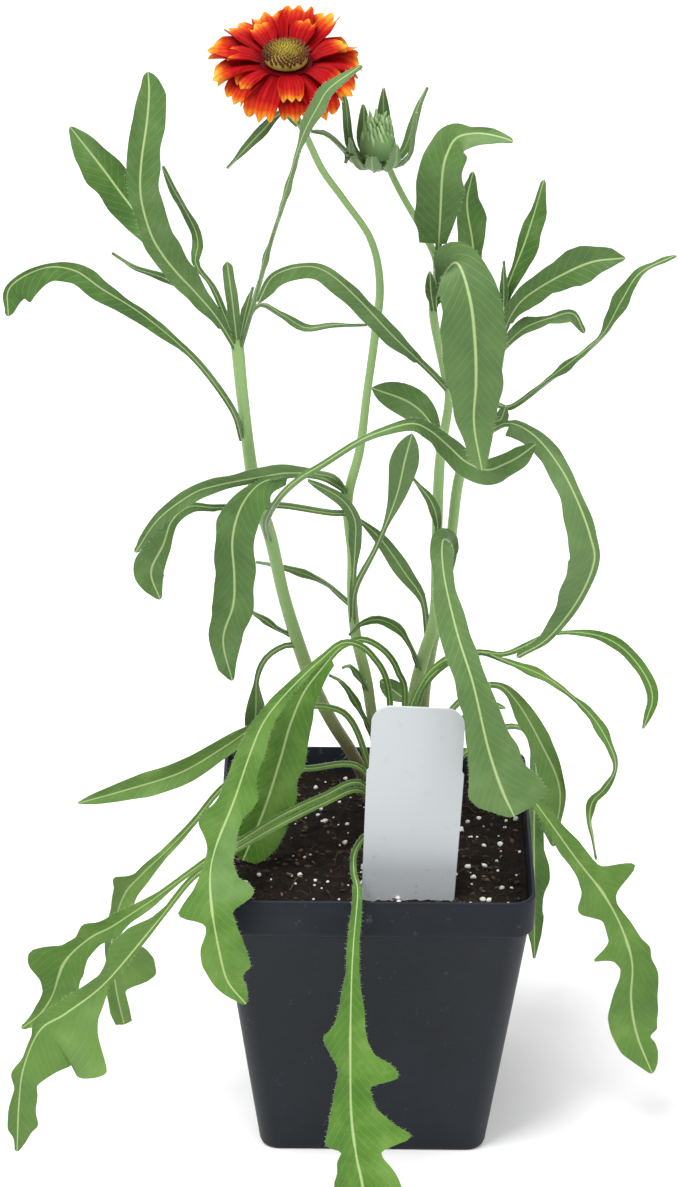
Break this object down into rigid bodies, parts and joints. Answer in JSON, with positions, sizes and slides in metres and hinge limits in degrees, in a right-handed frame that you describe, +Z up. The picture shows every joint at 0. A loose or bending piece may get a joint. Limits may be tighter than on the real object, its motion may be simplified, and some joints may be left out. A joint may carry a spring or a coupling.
{
  "type": "potted flowering plant",
  "caption": "Blanket flower plant with toothed leaves, a red and yellow bloom and a closed bud, in a square black nursery pot with a bare white label.",
  "frame": {"origin": "middle of the underside of the pot's base", "axes": "+Z up along the pot's height, the label faces -Y, +X to the right of someone who looks at the label"},
  "size_m": [0.1885, 0.1569, 0.335],
  "materials": {
    "pot": "satin",
    "soil": "rough",
    "label": "satin",
    "leafy": "matte",
    "rays": "matte",
    "disc": "matte",
    "young_florets": "matte"
  },
  "bodies": {
    "root": {"pot": "pot", "soil": "soil", "label": "label", "left_stem": "leafy", "bloom_stem": "leafy", "bud_stem": "leafy", "right_stem": "leafy", "rosette": "leafy", "bloom_rays": "rays", "bloom_disc": "disc", "bud_florets": "young_florets"}
  },
  "joints": []
}
